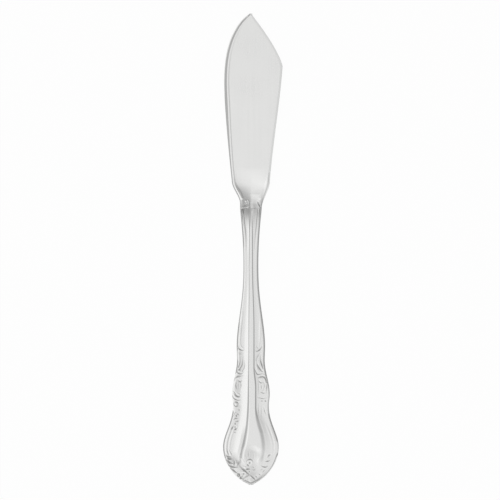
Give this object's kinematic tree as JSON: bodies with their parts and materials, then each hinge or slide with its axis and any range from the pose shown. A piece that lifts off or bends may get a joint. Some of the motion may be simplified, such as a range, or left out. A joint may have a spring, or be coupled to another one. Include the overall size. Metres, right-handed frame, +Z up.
{
  "type": "fish knife",
  "caption": "Steel fish knife with a broad dull blade, a clipped corner, scrolled shoulders and a hollow fluted handle that swells to a pointed ornamented end.",
  "frame": {"origin": "on the table plane under the flat land on the handle's back, on the handle's centre line, at the middle of the knife's length", "axes": "+Y along the knife towards the blade's tip, +X towards the blade's clipped back, +Z up out of the decorated face"},
  "size_m": [0.0253, 0.2, 0.0059],
  "materials": {
    "blade_steel": "fine satin polish",
    "handle_steel": "bright polish with crisp stamped relief",
    "braze": "pale silver braze, dressed flush",
    "cement": "set mineral filler, matt"
  },
  "bodies": {
    "root": {"blade": "blade_steel", "front_shell": "handle_steel", "back_shell": "handle_steel", "seam_braze": "braze", "cement_core": "cement"}
  },
  "joints": []
}
